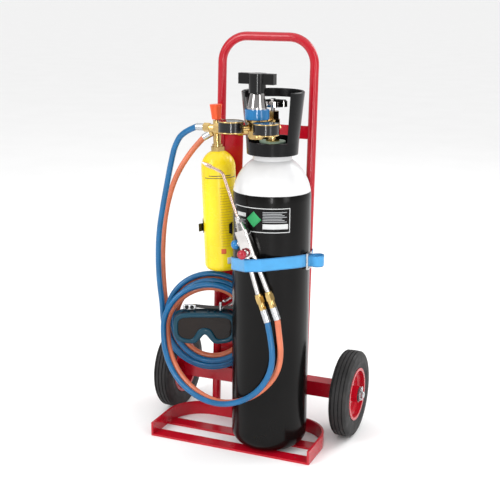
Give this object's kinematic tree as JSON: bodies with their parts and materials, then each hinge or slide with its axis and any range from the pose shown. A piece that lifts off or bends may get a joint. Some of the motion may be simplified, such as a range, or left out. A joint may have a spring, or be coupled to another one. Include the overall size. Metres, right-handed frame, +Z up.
{
  "type": "gas welding torch cart",
  "caption": "Two-wheeled hand cart that carries an oxygen cylinder, a fuel bottle, a pressure regulator, a hand torch, twin hoses and welding goggles.",
  "frame": {"origin": "on the floor, under the tray's centre bar and midway between the wheels", "axes": "+Z up, +X to the user's right as seen from the front, -Y to the front where the torch hangs"},
  "size_m": [0.513, 0.3611, 0.9151],
  "materials": {
    "red_paint": "gloss",
    "black_paint": "gloss, white shoulder",
    "guard_black": "satin",
    "yellow_paint": "gloss",
    "tyre": "ribbed",
    "zinc": "zinc plated",
    "chrome": "polished",
    "brass": "satin",
    "copper": "copper tube, satin",
    "steel_black": "satin",
    "black_plastic": "fine grain",
    "blue_plastic": "gloss",
    "red_plastic": "gloss",
    "orange_plastic": "semi-gloss",
    "pale_green_plastic": "matt",
    "nylon": "semi-matt",
    "dial_white": "printed face",
    "lens_clear": "clear",
    "lens_dark": "dark welding shade",
    "blue_hose": "semi-gloss",
    "orange_hose": "semi-gloss",
    "webbing": "woven webbing",
    "goggle_rubber": "semi-matt",
    "elastic": "woven elastic"
  },
  "bodies": {
    "cart": {"tray_rim": "red_paint", "tray_bars": "red_paint", "handle_hoop": "red_paint", "frame_legs": "red_paint", "back_panel": "red_paint", "top_cross_plate": "red_paint", "axle_crossbar": "red_paint", "axle_end_plugs": "black_plastic", "frame_hooks": "zinc", "axle_rod": "zinc", "axle_washers": "zinc", "cotter_pins": "zinc", "oxygen_cylinder": "black_paint", "neck_ring": "steel_black", "test_date_ring": "pale_green_plastic", "valve_guard": "guard_black", "cylinder_valve": "brass", "regulator_body": "brass", "regulator_inlet_nut": "brass", "regulator_ring": "blue_plastic", "regulator_bonnet": "chrome", "gauge_high_case": "steel_black", "gauge_low_case": "steel_black", "gauge_dials": "dial_white", "gauge_lenses": "lens_clear", "flashback_arrestor": "brass", "fuel_bottle": "yellow_paint", "fuel_valve_body": "brass", "bottle_clip": "steel_black", "clip_screws": "zinc", "torch_lance": "copper", "torch_nozzle": "copper", "torch_body": "chrome", "torch_tubes": "chrome", "torch_hose_nuts": "brass", "hose_ferrules": "zinc", "cylinder_strap": "webbing", "strap_buckle": "zinc", "goggles_frame": "goggle_rubber", "goggles_lens": "lens_dark", "goggles_strap": "elastic", "hose_coil": "blue_hose", "oxygen_hose_feed": "blue_hose", "oxygen_hose_lead": "blue_hose", "fuel_hose_feed": "orange_hose", "fuel_hose_lead": "orange_hose"},
    "wheel_left": {"tyre_left": "tyre", "rim_left": "red_paint", "bush_left": "nylon"},
    "wheel_right": {"tyre_right": "tyre", "rim_right": "red_paint", "bush_right": "nylon"},
    "handwheel": {"valve_handwheel": "chrome"},
    "pressure_knob": {"regulator_knob": "black_plastic"},
    "high_needle": {"gauge_high_pointer": "black_plastic"},
    "low_needle": {"gauge_low_pointer": "black_plastic"},
    "fuel_knob": {"fuel_valve_knob": "orange_plastic"},
    "torch_oxygen_valve": {"torch_oxygen_knob": "blue_plastic"},
    "torch_fuel_valve": {"torch_fuel_knob": "red_plastic"}
  },
  "joints": [
    {"name": "wheel_left_spin", "type": "hinge", "parent": "cart", "child": "wheel_left", "pos_m": [-0.221, 0.104, 0.1], "axis": [1, 0, 0], "continuous": true},
    {"name": "wheel_right_spin", "type": "hinge", "parent": "cart", "child": "wheel_right", "pos_m": [0.221, 0.104, 0.1], "axis": [1, 0, 0], "continuous": true},
    {"name": "valve_handwheel_turn", "type": "hinge", "parent": "cart", "child": "handwheel", "pos_m": [0.068, -0.013, 0.774], "axis": [0, 0, 1], "range_deg": [0, 810]},
    {"name": "regulator_knob_turn", "type": "hinge", "parent": "cart", "child": "pressure_knob", "pos_m": [0.0627, -0.08881, 0.825], "axis": [0, 0, 1], "range_deg": [0, 1170]},
    {"name": "gauge_high_sweep", "type": "hinge", "parent": "cart", "child": "high_needle", "pos_m": [0.09944, -0.13108, 0.74], "axis": [0, 0, -1], "range_deg": [0, 270]},
    {"name": "gauge_low_sweep", "type": "hinge", "parent": "cart", "child": "low_needle", "pos_m": [0.02043, -0.12555, 0.74], "axis": [0, 0, -1], "range_deg": [0, 270]},
    {"name": "fuel_knob_turn", "type": "hinge", "parent": "cart", "child": "fuel_knob", "pos_m": [-0.09508, 0.054, 0.73818], "axis": [-0.0419, 0, 0.9991], "range_deg": [0, 450]},
    {"name": "torch_oxygen_knob_turn", "type": "hinge", "parent": "cart", "child": "torch_oxygen_valve", "pos_m": [0.028, -0.111, 0.48484], "axis": [-0.9367, 0, -0.3502], "range_deg": [0, 585]},
    {"name": "torch_fuel_knob_turn", "type": "hinge", "parent": "cart", "child": "torch_fuel_valve", "pos_m": [0.04911, -0.13161, 0.46924], "axis": [-0.3278, -0.9368, -0.1225], "range_deg": [0, 585]}
  ]
}
